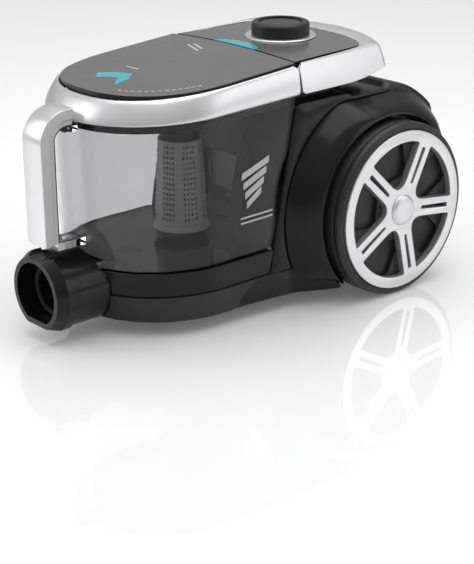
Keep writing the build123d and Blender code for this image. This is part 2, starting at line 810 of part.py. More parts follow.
def make_dust_container():
    """Clear tapering tank with an open sloping top and an inlet port in its floor."""
    with BuildPart() as dust_container:
        for height in (deck_z + 0.2, tank_top_z):
            with BuildSketch(Plane.XY.offset(height)):
                add(at_tank_height(height, 0))
        loft()
        with BuildSketch(Plane.XY.offset(deck_z + wall)):
            add(at_tank_height(deck_z + wall, tank_wall))
        with BuildSketch(Plane.XY.offset(tank_top_z + 1)):
            add(at_tank_height(tank_top_z + 1, tank_wall))
        loft(mode=Mode.SUBTRACT)
        split(bisect_by=low_plane.offset(-rim_clearance), keep=Keep.BOTTOM)
        with BuildSketch(Plane.XY.offset(deck_z)):
            with Locations((0, -150.5)):
                Rectangle(26, 12)
        extrude(amount=8, mode=Mode.SUBTRACT)
        with BuildSketch(Plane((0, 40, 120), x_dir=(-1, 0, 0), z_dir=(0, 1, 0))):
            Rectangle(62, 56)
        extrude(amount=-60, mode=Mode.SUBTRACT)
        with BuildSketch(Plane.XY.offset(88)):
            with Locations((0, -179)):
                Rectangle(22, 33)
        extrude(amount=7)
        with BuildSketch(Plane.XY.offset(198)):
            with Locations((0, -172)):
                Rectangle(22, 10)
        extrude(amount=4.8)
    save(dust_container, "dust_container")


def handle_path_face(depth_from, depth_to):
    """Side view of one layer of the container's handle, between two depths behind its front."""
    front = -211.5
    bend_z = 191.0
    outer = 30.0 - depth_from
    inner = 30.0 - depth_to
    centre_y = front + 30.0
    with BuildSketch() as outline:
        with BuildLine():
            Line((centre_y - outer, 86), (centre_y - outer, bend_z))
            RadiusArc((centre_y - outer, bend_z), (centre_y, bend_z + outer), outer)
            Polyline((centre_y, bend_z + outer), (-174.4, bend_z + outer), (-174.4, bend_z + inner))
            Line((-174.4, bend_z + inner), (centre_y, bend_z + inner))
            RadiusArc((centre_y, bend_z + inner), (centre_y - inner, bend_z), -inner)
            Polyline((centre_y - inner, bend_z), (centre_y - inner, 86), (centre_y - outer, 86))
        make_face()
    return outline.sketch


def make_container_handle():
    """Upright handle in front of the container: silver shell, grey grip and black strip."""
    layers = (
        ("container_handle", 0.0, 11.0, 15.0),
        ("container_handle_grip", 11.0, 16.0, 13.5),
        ("container_handle_strip", 16.0, 18.0, 12.0),
    )
    for word, depth_from, depth_to, half in layers:
        with BuildPart() as layer:
            with BuildSketch(side_plane(-half)):
                add(handle_path_face(depth_from, depth_to))
            extrude(amount=2 * half)
            with BuildSketch(Plane.XY.offset(80)):
                with Locations((0, -185)):
                    Rectangle(22.4, 30)
            extrude(amount=15.4, mode=Mode.SUBTRACT)
        save(layer, word)
    with BuildPart() as handle_joint:
        with BuildSketch(side_plane(-10)):
            with Locations((-179.4, 200.5)):
                Rectangle(4.2, 4.4)
        extrude(amount=20)
    save(handle_joint, "container_handle_joint")


def make_outlet_frame():
    """Black arched frame round the container's air outlet, on its back wall."""
    wall_plane = tank_back_plane(tank_wall * -1 - 0.1)
    with BuildPart() as outlet_frame:
        with BuildSketch(Plane(wall_plane.origin, x_dir=(1, 0, 0), z_dir=wall_plane.z_dir)):
            with BuildLine():
                Polyline((-46, 5), (46, 5), (46, 80))
                TangentArc((46, 80), (0, 112), tangent=(0, 1))
                mirror(about=Plane.YZ)
            make_face()
            with Locations((0, 50)):
                Rectangle(66, 62, mode=Mode.SUBTRACT)
        extrude(amount=5)
    save(outlet_frame, "outlet_frame")


# ---------------------------------------------------------------- lid

def make_lid():
    """Silver band, dark crowned panel, black base plate and rubber seal."""
    black_edge = 1.6
    back = seam_y - seam_gap - seam_y
    with BuildPart() as lid_band:
        with BuildSketch(low_plane):
            add(nose_outline(99, -173 - seam_y, back, -70 - seam_y))
        with BuildSketch(top_plane):
            add(nose_outline(94.5, -157 - seam_y, back, -50 - seam_y))
        loft()
        with BuildSketch(low_plane.offset(-5)):
            add(nose_outline(89, -151 - seam_y, back + 20, -56 - seam_y))
        extrude(amount=60, mode=Mode.SUBTRACT)
    save(lid_band, "lid_band")
    with BuildPart() as lid_base:
        with BuildSketch(low_plane):
            add(nose_outline(88.6, -150.6 - seam_y, back, -56 - seam_y))
        extrude(amount=60)
        split(bisect_by=top_plane.offset(black_edge), keep=Keep.BOTTOM)
        with BuildSketch(low_plane.offset(-9)):
            add(nose_outline(91.3, -163.5 - seam_y, -11, -70 - seam_y))
        extrude(amount=9)
        with BuildSketch(low_plane.offset(-9)):
            add(nose_outline(86, -148 - seam_y, -14, -56 - seam_y))
        extrude(amount=6, mode=Mode.SUBTRACT)
        with BuildSketch(low_plane):
            add(nose_outline(86, -148 - seam_y, back - 3, -56 - seam_y))
        extrude(amount=60, mode=Mode.SUBTRACT)
        with BuildSketch(low_plane.offset(-12)):
            with Locations((0, -40 - seam_y)):
                Circle(20)
        extrude(amount=40, mode=Mode.SUBTRACT)
    save(lid_base, "lid_base")
    with BuildPart() as lid_panel:
        with BuildSketch(top_plane.offset(black_edge)):
            add(nose_outline(88.2, -150.2 - seam_y, back, -56 - seam_y))
        extrude(amount=40)
        add(crown_limit(panel_edge_z, band_top_slope, panel_rise, 88), mode=Mode.INTERSECT)
    save(lid_panel, "lid_panel")
    with BuildPart() as lid_seal:
        with BuildSketch(low_plane.offset(-8)):
            add(nose_outline(92.3, -164.5 - seam_y, -10.2, -70 - seam_y))
            add(nose_outline(91.4, -163.6 - seam_y, -10.9, -70 - seam_y), mode=Mode.SUBTRACT)
        extrude(amount=3)
    save(lid_seal, "lid_seal")


def make_cyclone():
    """Perforated cone, its cap and its skirt, which hang from the lid."""
    centre = (0, -40)
    with BuildPart() as cyclone_cap:
        with BuildSketch(Plane.XY.offset(166)):
            with Locations(centre):
                Circle(19.6)
                Circle(16.6, mode=Mode.SUBTRACT)
        extrude(amount=56)
    save(cyclone_cap, "cyclone_cap")
    with BuildPart() as cyclone_screen:
        for height, radius in ((82, 26), (165.8, 21.5)):
            with BuildSketch(Plane.XY.offset(height)):
                with Locations(centre):
                    Circle(radius)
        loft()
        for height, radius in ((84, 24), (166, 19.5)):
            with BuildSketch(Plane.XY.offset(height)):
                with Locations(centre):
                    Circle(radius)
        loft(mode=Mode.SUBTRACT)
        for row in range(6):
            with Locations((0, -40, 94 + 12 * row)):
                with PolarLocations(0, 8):
                    Cylinder(2, 40, rotation=(0, 90, 0), mode=Mode.SUBTRACT)
    save(cyclone_screen, "cyclone_screen")
    with BuildPart() as screen_skirt:
        for height, radius in ((76, 28), (81.9, 26.5)):
            with BuildSketch(Plane.XY.offset(height)):
                with Locations(centre):
                    Circle(radius)
        loft()
        with BuildSketch(Plane.XY.offset(75)):
            with Locations(centre):
                Circle(23)
        extrude(amount=4.5, mode=Mode.SUBTRACT)
    save(screen_skirt, "screen_skirt")


# ---------------------------------------------------------------- motor, filter and reel

def motor_plane(y):
    """A plane across the motor's axis, looking back."""
    return Plane((motor_x, y, motor_z), x_dir=(-1, 0, 0), z_dir=(0, 1, 0))


def make_motor():
    """Fan housing, motor can, turning parts and rubber mounts."""
    with BuildPart() as fan_housing:
        with BuildSketch(motor_plane(52)):
            Circle(54)
        extrude(amount=30)
        with BuildSketch(motor_plane(55)):
            Circle(51)
        extrude(amount=24, mode=Mode.SUBTRACT)
        with BuildSketch(motor_plane(50)):
            Circle(20)
        extrude(amount=6, mode=Mode.SUBTRACT)
        with BuildSketch(motor_plane(78)):
            Circle(4.3)
        extrude(amount=6, mode=Mode.SUBTRACT)
    save(fan_housing, "fan_housing")
    with BuildPart() as motor_can:
        with BuildSketch(motor_plane(82)):
            Circle(42)
            Circle(39, mode=Mode.SUBTRACT)
        extrude(amount=66)
        with BuildSketch(motor_plane(148)):
            Circle(42)
            Circle(4 + running_gap, mode=Mode.SUBTRACT)
            with PolarLocations(26, 6):
                Circle(6, mode=Mode.SUBTRACT)
        extrude(amount=4)
    save(motor_can, "motor_can")
    with BuildPart() as impeller:
        with BuildSketch(motor_plane(60)):
            Circle(47)
            Circle(4, mode=Mode.SUBTRACT)
        extrude(amount=2)
        with BuildSketch(motor_plane(62)):
            with PolarLocations(28, 9):
                Rectangle(34, 1.6, rotation=35)
            Circle(10)
            Circle(4, mode=Mode.SUBTRACT)
        extrude(amount=9)
    save(impeller, "impeller")
    with BuildPart() as motor_rotor:
        with BuildSketch(motor_plane(58)):
            Circle(4)
        extrude(amount=94)
        with BuildSketch(motor_plane(94)):
            Circle(24)
        extrude(amount=44)
    save(motor_rotor, "motor_rotor")
    with BuildPart() as front_mount:
        with BuildSketch(motor_plane(46)):
            Circle(40)
            Circle(26, mode=Mode.SUBTRACT)
        extrude(amount=5.9)
    save(front_mount, "motor_mount_front")
    with BuildPart() as rear_mount:
        with BuildSketch(motor_plane(152.2)):
            Circle(36)
            Circle(12, mode=Mode.SUBTRACT)
        extrude(amount=8)
    save(rear_mount, "motor_mount_rear")
    with BuildPart() as pre_filter:
        with Locations((0, 34, 125)):
            Box(64, 10, 58)
    save(pre_filter, "motor_filter")
    with BuildPart() as filter_frame:
        with Locations((0, 34, 125)):
            Box(69.6, 12, 63.6)
            Box(64.2, 20, 58.2, mode=Mode.SUBTRACT)
    save(filter_frame, "motor_filter_frame")


def make_reel():
    """Empty cord reel on its spindle, with the case of its rewind spring."""
    with BuildPart() as cord_reel:
        for x in (30, 78):
            with BuildSketch(side_plane(x)):
                with Locations((reel_y, reel_z)):
                    Circle(reel_radius)
            extrude(amount=2.5)
        with BuildSketch(side_plane(30)):
            with Locations((reel_y, reel_z)):
                Circle(30)
        extrude(amount=50)
        with BuildSketch(side_plane(28)):
            with Locations((reel_y, reel_z)):
                Circle(5 + running_gap)
        extrude(amount=56, mode=Mode.SUBTRACT)
        with BuildSketch(side_plane(28)):
            with Locations((reel_y, reel_z)):
                with PolarLocations(50, 6):
                    Circle(9)
        extrude(amount=56, mode=Mode.SUBTRACT)
    save(cord_reel, "cord_reel")
    with BuildPart() as reel_spindle:
        with BuildSketch(side_plane(24)):
            with Locations((reel_y, reel_z)):
                Circle(5)
        extrude(amount=70)
    save(reel_spindle, "reel_spindle")
    with BuildPart() as spring_case:
        with BuildSketch(side_plane(81.4)):
            with Locations((reel_y, reel_z)):
                Circle(34)
                Circle(5, mode=Mode.SUBTRACT)
        extrude(amount=10)
        with BuildSketch(side_plane(84)):
            with Locations((reel_y, reel_z)):
                Circle(32)
                Circle(8, mode=Mode.SUBTRACT)
        extrude(amount=6, mode=Mode.SUBTRACT)
    save(spring_case, "reel_spring_case")


def make_screws():
    """Screws that hold the lower shell on, as one group."""
    with BuildPart() as base_screws:
        with BuildSketch(Plane.XY.offset(base_z)):
            with GridLocations(150, 90, 2, 2):
                Circle(3.8)
        extrude(amount=2.8)
        with BuildSketch(Plane.XY.offset(base_z)):
            with GridLocations(150, 90, 2, 2):
                Rectangle(5, 1)
                Rectangle(1, 5)
        extrude(amount=1.2, mode=Mode.SUBTRACT)
    save(base_screws, "base_screws")


def make_all():
    """Build and write every piece."""
    make_base_housing()
    make_cradle()
    make_hose_inlet()
    make_inlet_collar()
    make_inlet_seal()
    make_rear_housing()
    make_exhaust()
    make_cord_outlet()
    make_top_frame()
    make_top_panel()
    make_release_button()
    make_knob()
    make_carry_handle()
    make_wheel(1, "left")
    make_wheel(-1, "right")
    make_axles()
    make_caster()
    make_dust_container()
    make_container_handle()
    make_outlet_frame()
    make_lid()
    make_cyclone()
    make_motor()
    make_reel()
    make_screws()


make_all()
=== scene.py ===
"""Canister vacuum cleaner: finishes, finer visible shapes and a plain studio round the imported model.

Shapes are worked out in millimetres in the frame of the model, and made in metres.
"""
import json
import math

import bmesh
import bpy
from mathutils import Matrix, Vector


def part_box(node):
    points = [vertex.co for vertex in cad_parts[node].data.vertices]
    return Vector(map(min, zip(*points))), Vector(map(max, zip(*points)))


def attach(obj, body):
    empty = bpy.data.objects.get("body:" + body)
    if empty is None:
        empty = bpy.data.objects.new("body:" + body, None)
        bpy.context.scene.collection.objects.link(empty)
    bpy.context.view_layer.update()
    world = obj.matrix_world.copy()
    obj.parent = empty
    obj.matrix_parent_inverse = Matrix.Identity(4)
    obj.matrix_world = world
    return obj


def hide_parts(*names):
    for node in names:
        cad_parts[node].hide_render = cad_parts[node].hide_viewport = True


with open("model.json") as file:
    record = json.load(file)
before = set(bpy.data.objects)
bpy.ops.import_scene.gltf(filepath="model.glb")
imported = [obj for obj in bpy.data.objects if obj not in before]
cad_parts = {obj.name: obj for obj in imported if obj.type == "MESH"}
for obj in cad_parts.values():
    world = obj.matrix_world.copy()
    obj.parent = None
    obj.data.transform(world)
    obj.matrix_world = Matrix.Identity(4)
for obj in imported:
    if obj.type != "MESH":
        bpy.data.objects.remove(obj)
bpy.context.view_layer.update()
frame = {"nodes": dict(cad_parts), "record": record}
scene = bpy.context.scene
nodes = frame["nodes"]
MM = 0.001


def low(node):
    """Lowest corner of a node in millimetres."""
    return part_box(node)[0] / MM


def high(node):
    """Highest corner of a node in millimetres."""
    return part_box(node)[1] / MM


# ---------------------------------------------------------------- materials

def add_noise(tree, scale, detail=3.0, stretch=(1, 1, 1)):
    """Noise in the frame's own metres, stretched along an axis if asked."""
    coords = tree.nodes.new("ShaderNodeTexCoord")
    mapping = tree.nodes.new("ShaderNodeMapping")
    mapping.inputs["Scale"].default_value = stretch
    texture = tree.nodes.new("ShaderNodeTexNoise")
    texture.inputs["Scale"].default_value = scale
    texture.inputs["Detail"].default_value = detail
    tree.links.new(coords.outputs["Object"], mapping.inputs["Vector"])
    tree.links.new(mapping.outputs["Vector"], texture.inputs["Vector"])
    return texture.outputs["Fac"]


def span(tree, value, least, most, start=0.3, end=0.7):
    """The value mapped onto another range."""
    node = tree.nodes.new("ShaderNodeMapRange")
    for socket, number in (("From Min", start), ("From Max", end), ("To Min", least), ("To Max", most)):
        node.inputs[socket].default_value = number
    tree.links.new(value, node.inputs["Value"])
    return node.outputs["Result"]


def blend_colours(tree, share, first, second):
    """Mixes two colours by a value."""
    mix = tree.nodes.new("ShaderNodeMix")
    mix.data_type = "RGBA"
    tree.links.new(share, mix.inputs["Factor"])
    mix.inputs["A"].default_value = (*first, 1)
    mix.inputs["B"].default_value = (*second, 1)
    return mix.outputs["Result"]


def bump(tree, shader, height, strength, distance):
    """Adds fine relief to a shader, distance in metres."""
    node = tree.nodes.new("ShaderNodeBump")
    node.inputs["Strength"].default_value = strength
    node.inputs["Distance"].default_value = distance
    tree.links.new(height, node.inputs["Height"])
    tree.links.new(node.outputs["Normal"], shader.inputs["Normal"])


def finish(name, first, second, rough, grain, relief=0.2, depth=0.00005, patch=14, stretch=(1, 1, 1),
           **sockets):
    """A moulded or painted surface: two near colours in patches, uneven gloss and a fine grain."""
    material = bpy.data.materials.new(name)
    material.use_nodes = True
    tree = material.node_tree
    shader = tree.nodes["Principled BSDF"]
    patches = span(tree, add_noise(tree, patch, 4.0, stretch), 0.0, 1.0)
    tree.links.new(blend_colours(tree, patches, first, second), shader.inputs["Base Color"])
    smears = add_noise(tree, patch * 5, 5.0, stretch)
    tree.links.new(span(tree, smears, rough[0], rough[1]), shader.inputs["Roughness"])
    bump(tree, shader, add_noise(tree, grain, 2.0, stretch), relief, depth)
    for socket, value in sockets.items():
        shader.inputs[socket.replace("_", " ")].default_value = value
    return material


looks = {
    "gloss_black": finish("gloss_black", (0.0045, 0.0045, 0.005), (0.0065, 0.0065, 0.007), (0.16, 0.26), 420,
                          0.12, Coat_Weight=0.07, Coat_Roughness=0.06, Specular_IOR_Level=0.2),
    "matte_black": finish("matte_black", (0.010, 0.010, 0.010), (0.015, 0.015, 0.015), (0.42, 0.56), 1900,
                          0.3, Specular_IOR_Level=0.4),
    "silver": finish("silver", (0.64, 0.64, 0.65), (0.68, 0.68, 0.69), (0.30, 0.35), 1400, 0.05, 0.00001,
                     Metallic=0.8, Coat_Weight=0.2, Coat_Roughness=0.2),
    "panel_grey": finish("panel_grey", (0.130, 0.130, 0.131), (0.150, 0.150, 0.151), (0.27, 0.36), 1500,
                         0.06, 0.00001, Metallic=0.55, Coat_Weight=0.3, Coat_Roughness=0.15),
    "teal": finish("teal", (0.010, 0.33, 0.40), (0.014, 0.38, 0.45), (0.22, 0.32), 1500, 0.15,
                   Coat_Weight=0.4, Coat_Roughness=0.1),
    "light_grey": finish("light_grey", (0.42, 0.42, 0.42), (0.47, 0.47, 0.47), (0.34, 0.46), 1600, 0.2),
    "rubber": finish("rubber", (0.016, 0.016, 0.016), (0.024, 0.024, 0.024), (0.55, 0.72), 1400, 0.35),
    "tyre": finish("tyre", (0.011, 0.011, 0.011), (0.017, 0.017, 0.017), (0.36, 0.5), 900, 0.3,
                   Specular_IOR_Level=0.4),
    "steel": finish("steel", (0.52, 0.52, 0.53), (0.60, 0.60, 0.61), (0.2, 0.34), 2600, 0.2,
                    stretch=(1, 8, 1), Metallic=1.0),
    "filter": finish("filter", (0.50, 0.50, 0.47), (0.62, 0.62, 0.58), (0.8, 0.95), 700, 0.8, 0.0006),
    "board": finish("board", (0.012, 0.10, 0.035), (0.02, 0.14, 0.05), (0.3, 0.45), 800, 0.2),
}


def clear_look(name, tint, haze):
    """Smoky clear plastic with faint moulding waves."""
    material = bpy.data.materials.new(name)
    material.use_nodes = True
    tree = material.node_tree
    shader = tree.nodes["Principled BSDF"]
    darker = tuple(0.93 * part for part in tint)
    patches = span(tree, add_noise(tree, 9, 3.0, (1, 1, 0.3)), 0.0, 1.0)
    tree.links.new(blend_colours(tree, patches, tint, darker), shader.inputs["Base Color"])
    tree.links.new(span(tree, add_noise(tree, 60, 4.0), haze, haze + 0.03), shader.inputs["Roughness"])
    bump(tree, shader, add_noise(tree, 22, 2.0, (1, 1, 0.15)), 0.12, 0.0005)
    shader.inputs["Transmission Weight"].default_value = 1.0
    shader.inputs["IOR"].default_value = 1.28
    shader.inputs["Specular IOR Level"].default_value = 0.4
    return material


looks["clear_smoke"] = clear_look("clear_smoke", (0.72, 0.72, 0.73), 0.02)
looks["mark_grey"] = finish("mark_grey", (0.42, 0.42, 0.42), (0.48, 0.48, 0.48), (0.4, 0.5), 1500, 0.1)

for row in frame["record"]["subparts"]:
    holder = nodes[row["node"]].data.materials
    holder.clear()
    holder.append(looks[row["material_slot"]])


# ---------------------------------------------------------------- mesh helpers

def paint(mesh, slot_name, second=None, picked=None):
    """Gives a mesh one look, and a second one to the faces picked."""
    mesh.materials.clear()
    mesh.materials.append(looks[slot_name])
    if second:
        mesh.materials.append(looks[second])
        for face in mesh.polygons:
            face.material_index = 1 if picked(face) else 0


def smooth_up_to(mesh, degrees):
    """Shades a mesh smooth, except where two faces meet at more than an angle."""
    for face in mesh.polygons:
        face.use_smooth = True
    mesh.set_sharp_from_angle(angle=math.radians(degrees))


def is_wall(face):
    """True for a face of a panel that doesn't face up."""
    return face.normal.z < 0.6


def make_piece(name, points, faces, slot_name, body, replaced=(), edge=0.0, smooth=True, second=None,
               picked=None):
    """A mesh from points in millimetres, riding on a body, with rounded edges where asked."""
    mesh = bpy.data.meshes.new(name)
    mesh.from_pydata([tuple(MM * part for part in point) for point in points], [], faces)
    mesh.update()
    work = bmesh.new()
    work.from_mesh(mesh)
    bmesh.ops.remove_doubles(work, verts=work.verts, dist=1e-6)
    bmesh.ops.recalc_face_normals(work, faces=work.faces)
    work.to_mesh(mesh)
    work.free()
    piece = bpy.data.objects.new(name, mesh)
    scene.collection.objects.link(piece)
    paint(mesh, slot_name, second, picked)
    if edge:
        rounding = piece.modifiers.new("edges", "BEVEL")
        rounding.width = edge * MM
        rounding.segments = 3
        rounding.limit_method = "ANGLE"
        rounding.angle_limit = math.radians(38)
    if smooth:
        for face in mesh.polygons:
            face.use_smooth = True
        level = piece.modifiers.new("normals", "WEIGHTED_NORMAL")
        level.keep_sharp = False
    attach(piece, body)
    if replaced:
        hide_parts(*replaced)
    return piece


def skin(rows, round_section=True, caps=True):
    """Points and faces over rows of equal length; the rows make a closed section, and its ends are capped."""
    length = len(rows[0])
    points = [point for row in rows for point in row]
    faces = []
    for i in range(len(rows) if round_section else len(rows) - 1):
        j = (i + 1) % len(rows)
        for k in range(length - 1):
            faces.append((i * length + k, i * length + k + 1, j * length + k + 1, j * length + k))
    if caps and round_section:
        for k in (0, length - 1):
            middle = sum((Vector(row[k]) for row in rows), Vector()) / len(rows)
            points.append(tuple(middle))
            hub = len(points) - 1
            for i in range(len(rows)):
                faces.append((i * length + k, ((i + 1) % len(rows)) * length + k, hub))
    return points, faces


def lathe(profile, centre, axis="X", count=96):
    """A profile of (radius, place along the axis) turned about the axis through centre."""
    points = []
    for turn in range(count):
        angle = 2 * math.pi * turn / count
        for radius, along in profile:
            a, b = radius * math.cos(angle), radius * math.sin(angle)
            points.append((centre[0] + along, centre[1] + a, centre[2] + b) if axis == "X"
                          else (centre[0] + a, centre[1] + b, centre[2] + along))
    faces = []
    size = len(profile)
    for turn in range(count):
        after = (turn + 1) % count
        for k in range(size - 1):
            faces.append((turn * size + k, turn * size + k + 1, after * size + k + 1, after * size + k))
    return points, faces


def add_prism(points, faces, ring, opposite):
    """Adds a closed prism between two rings of equal length to a list of points and faces."""
    start, count = len(points), len(ring)
    points += ring + opposite
    faces.append(tuple(range(start, start + count)))
    faces.append(tuple(range(start + 2 * count - 1, start + count - 1, -1)))
    for k in range(count):
        after = (k + 1) % count
        faces.append((start + k, start + after, start + count + after, start + count + k))


def power_curve(value, power):
    """A sine or cosine raised to the superellipse's power, keeping its sign."""
    return math.copysign(abs(value) ** (2 / power), value)


def nose_curve(half, front, back, arc, power, straight=10, count=72):
    """Flat-backed outline from its +X rear end, round the front, to the -X one."""
    side = [(half, back + (arc - back) * k / straight) for k in range(straight)]
    bend = []
    for k in range(count + 1):
        angle = math.pi * k / count
        bend.append((half * power_curve(math.cos(angle), power),
                     arc - (arc - front) * power_curve(math.sin(angle), power)))
    return side + bend + [(-x, y) for x, y in reversed(side)]


def outward(curve):
    """Unit normals of an outline in plan, pointing away from its inside."""
    found = []
    for k in range(len(curve)):
        a, b = curve[max(k - 1, 0)], curve[min(k + 1, len(curve) - 1)]
        dx, dy = b[0] - a[0], b[1] - a[1]
        size = math.hypot(dx, dy) or 1.0
        found.append((-dy / size, dx / size))
    middle = len(curve) // 2
    flip = -1 if found[middle][1] > 0 else 1
    return [(flip * x, flip * y) for x, y in found]


def corner_pull(height, bottom, top, low_radius, high_radius):
    """How far a rounded end is pulled back at one height."""
    for gap, radius in ((height - bottom, low_radius), (top - height, high_radius)):
        if gap < radius:
            return radius - math.sqrt(max(radius ** 2 - (radius - gap) ** 2, 0.0))
    return 0.0


# ---------------------------------------------------------------- lid

seam = high("lid_band").y


def band_height(edge, y):
    """Height of the band's lower or upper edge at one Y."""
    start, slope = ((213.4, 1.8), (241.0, 4.1))[edge]
    return start - (seam - y) * math.tan(math.radians(slope))


def make_lid_band():
    """Silver band whose face leans out towards its lower edge."""
    lower = nose_curve(98.8, -173, seam, -70, 2.1)
    upper = nose_curve(94.6, -157.5, seam, -47, 2.35)
    normals = outward(lower)
    section = [(0, -5.0, 1.2), (0, -3.0, 0.2), (0, -1.2, 0.0), (0, -0.2, 0.7)]
    section += [(k / 12, 0.25 + 6.4 * (k / 12) * (1 - k / 12), 0) for k in range(1, 12)]
    section += [(1, 0.0, -0.5), (1, -0.5, 0.0), (1, -2.0, 0.15), (1, -2.7, -0.2), (1, -3.0, -2.0),
                (0, -5.0, 6.0)]
    rows = []
    for share, out, up in section:
        row = []
        for k, (a, b) in enumerate(zip(lower, upper)):
            x = a[0] + share * (b[0] - a[0]) + out * normals[k][0]
            y = a[1] + share * (b[1] - a[1]) + out * normals[k][1]
            z = band_height(0, y) + share * (band_height(1, y) - band_height(0, y)) + up
            row.append([x, y, z])
        pull = corner_pull(row[0][2], band_height(0, seam), band_height(1, seam), 3.0, 4.5)
        for end in (row[0], row[-1]):
            end[1] = seam - pull
        rows.append(row)
    points, faces = skin(rows)
    make_piece("lid_band_skin", points, faces, "silver", "lid", ["lid_band"], edge=0.5)


make_lid_band()


def slab(rows, thick):
    """Points and faces of a closed plate: a grid of rows on top, its copy below and walls between."""
    wide, count = len(rows[0]), len(rows)
    top = [tuple(point) for row in rows for point in row]
    points = top + [(x, y, z - thick) for x, y, z in top]
    drop = len(top)
    faces = []
    for i in range(count - 1):
        for k in range(wide - 1):
            quad = (i * wide + k, i * wide + k + 1, (i + 1) * wide + k + 1, (i + 1) * wide + k)
            faces += [quad, tuple(drop + index for index in reversed(quad))]
    rim = [k for k in range(wide)] + [i * wide + wide - 1 for i in range(1, count)]
    rim += [(count - 1) * wide + k for k in range(wide - 2, -1, -1)]
    rim += [i * wide for i in range(count - 2, 0, -1)]
    for a, b in zip(rim, rim[1:] + rim[:1]):
        faces.append((a, b, drop + b, drop + a))
    return points, faces


def crown_rows(curve, edge_height, rise, across=24):
    """Grid over a symmetric outline whose middle is higher than its edge."""
    half = max(x for x, _ in curve)
    rows = []
    for k in range(len(curve) // 2 + 1):
        x, y = curve[k]
        row = []
        for step in range(across + 1):
            here = x * (1 - 2 * step / across)
            row.append((here, y, edge_height(y) + rise * (1 - (here / half) ** 2)))
        rows.append(row)
    return rows


def lid_panel_edge(y):
    """Height of the lid panel's edge, which falls towards the front with the band."""
    return 243.3 - (seam - y) * math.tan(math.radians(4.3))


lid_panel_half = 90.6
panel_crown = 3.0


def make_lid_panel():
    """Dark crowned lid panel with a black wall round it."""
    curve = nose_curve(lid_panel_half, -153.2, seam, -50, 2.35)
    points, faces = slab(crown_rows(curve, lid_panel_edge, panel_crown), 5.0)
    make_piece("lid_panel_skin", points, faces, "panel_grey", "lid", ["lid_panel"], edge=0.7,
               second="gloss_black", picked=is_wall)


make_lid_panel()


# ---------------------------------------------------------------- carry handle

def tail_curve(stations, count=10):
    """Open outline through stations with rounded corners, mirrored to the -X side.

    A station is (x, y, z, radius); the first lies on the front end, the last on X = 0.
    """
    half = [Vector(stations[0][:3])]
    for before, here, after in zip(stations, stations[1:], stations[2:]):
        corner = Vector(here[:3])
        back = Vector(before[:3]) - corner
        ahead = Vector(after[:3]) - corner
        reach = min(here[3], 0.48 * back.length, 0.48 * ahead.length)
        start, stop = corner + reach * back.normalized(), corner + reach * ahead.normalized()
        for k in range(count + 1):
            share = k / count
            half.append(start.lerp(corner, share).lerp(corner.lerp(stop, share), share))
    half.append(Vector(stations[-1][:3]))
    return half + [Vector((-p.x, p.y, p.z)) for p in reversed(half[:-1])]


def make_carry_handle():
    """Silver U-shaped handle with flat leaning sides and creased rear corners."""
    front = low("carry_handle").y
    low_z, high_z = 213.6, 242.2
    top_out = tail_curve([(92, front, 241.6, 0), (92.2, 90, 243.2, 40), (88.8, 144, 244.2, 3),
                          (66, 157, 244.6, 20), (40, 168, 244.8, 26), (0, 174.4, 245, 0)])
    low_out = tail_curve([(98.8, front, low_z, 0), (98.8, 108, 214.6, 40), (95.2, 147.5, 222, 3),
                          (76, 165, 222, 20), (44, 178, 221, 26), (0, 182, 221, 0)])
    top_in = tail_curve([(88.6, front, high_z, 0), (87.4, 90, 243.8, 30), (84.5, 121, 244.6, 10),
                         (66, 136, 245.2, 16), (40, 143.5, 245.6, 24), (0, 146.5, 245.8, 0)])
    low_in = tail_curve([(88.0, front, 214.4, 0), (86.6, 90, 215.2, 30), (82, 123, 218, 10),
                         (64, 138.5, 219, 16), (39, 146, 219, 24), (0, 149, 219, 0)])
    section = [(low_out, top_out, k / 10, 1.6 * math.sin(math.pi * k / 10)) for k in range(11)]
    section += [(top_out, top_in, k / 6, 0.0) for k in range(1, 6)]
    section += [(top_in, low_in, k / 4, 0.0) for k in range(5)]
    rows = []
    count = len(top_out)
    for first, second, share, swell in section:
        row = []
        for k in range(count):
            point = Vector(first[k]).lerp(Vector(second[k]), share)
            if first is top_out:
                point.z += 1.5 * math.sin(math.pi * share) * min(1.0, max(0.0, (point.y - 100) / 40))
            away = Vector((low_out[k].x - low_in[k].x, low_out[k].y - low_in[k].y, 0))
            row.append(list(point + swell * away.normalized() * 0.5))
        pull = corner_pull(row[0][2], low_z, high_z, 3.5, 6.0)
        for end in (row[0], row[-1]):
            end[1] = front + pull
        rows.append(row)
    points, faces = skin(rows)
    make_piece("carry_handle_skin", points, faces, "silver", "handle", ["carry_handle"], edge=1.2)


make_carry_handle()


# ---------------------------------------------------------------- rear housing

wheel_y = (low("tyre_left").y + high("tyre_left").y) / 2
wheel_z = (low("tyre_left").z + high("tyre_left").z) / 2
rear_y = high("rear_housing").y
split_z = low("cradle").z
shelf_z = 205.0
dip_depth = 4.6           # hollow of the shelf under the handle's crossbar
body_x = 97.0
well_x = 99.5             # floor of the wheel's well
lip = 93.0                # inner radius of the fairing
fairing_radius = 118.0    # outer radius of the fairing
fairing_top = 197.0
shoulder_radius = 121.5   # of the housing's upper rear corner, about the wheel's axis
fender_low = 20.0
front_lean = 0.2068       # slope of the front wall: Y against Z
front_at_floor = -17.9
fender_from, fender_to = math.radians(20.5), math.radians(227)


def soft_least(values, soft=1.6):
    """Smallest of some lengths, with a rounded change from one to the next."""
    least = min(values)
    return least - soft * math.log(sum(math.exp((least - value) / soft) for value in values))


